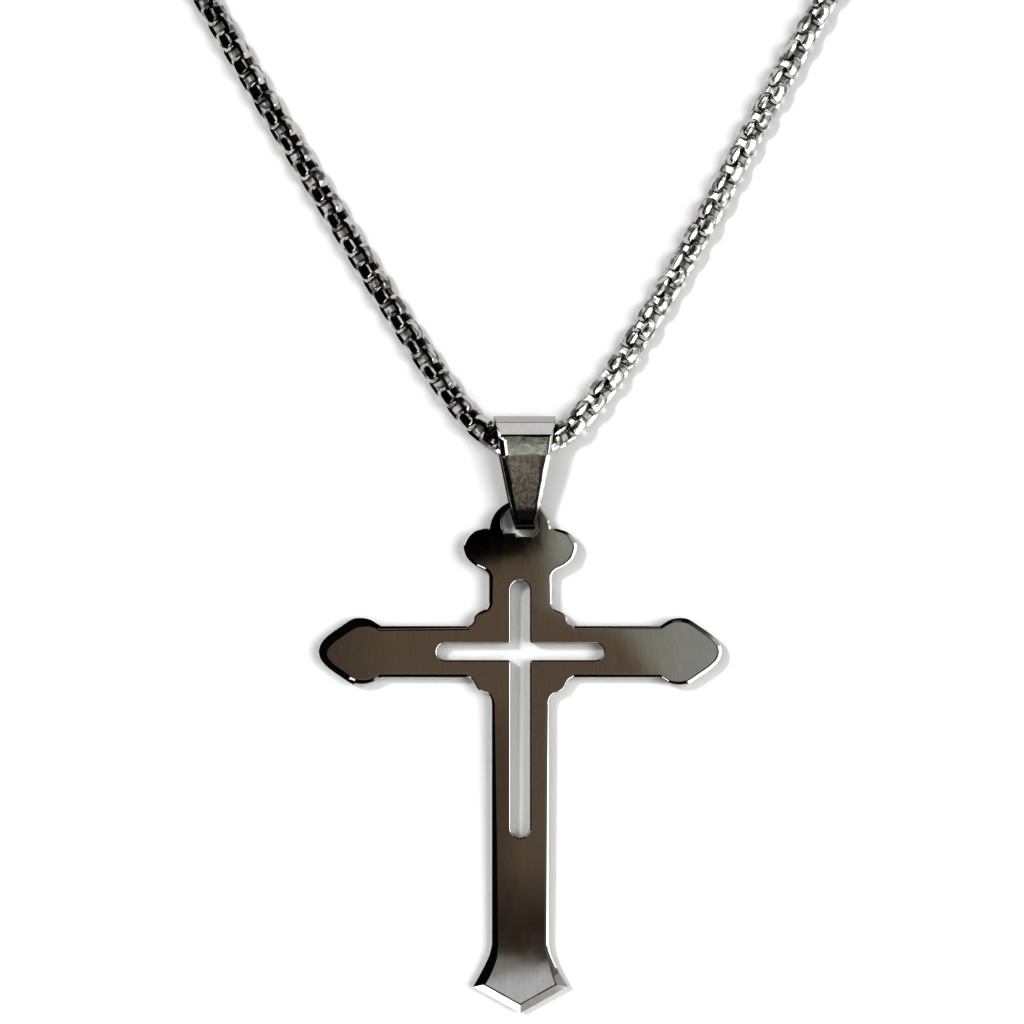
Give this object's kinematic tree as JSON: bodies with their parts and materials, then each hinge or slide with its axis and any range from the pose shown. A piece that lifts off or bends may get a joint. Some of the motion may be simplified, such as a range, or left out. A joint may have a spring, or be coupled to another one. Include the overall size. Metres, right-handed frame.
{
  "type": "cross pendant necklace",
  "caption": "Flat polished steel cross with a cross-shaped slot, hanging by its ear from a folded bail on a round box chain, laid flat.",
  "frame": {"origin": "the middle of the bail's flat back, on the surface that the necklace lies on", "axes": "+X to the wearer's left as seen from the front, +Y up the cross towards the clasp, +Z out of the front of the cross"},
  "size_m": [0.1648, 0.3041, 0.0052],
  "materials": {
    "cross_steel": "polished almost to a mirror, with fine wipe marks",
    "bail_steel": "polished, lightly grained and mottled on its front",
    "chain_steel": "polished",
    "clasp_steel": "polished"
  },
  "bodies": {
    "root": {"cross": "cross_steel", "bail": "bail_steel", "chain": "chain_steel", "clasp": "clasp_steel"}
  },
  "joints": []
}
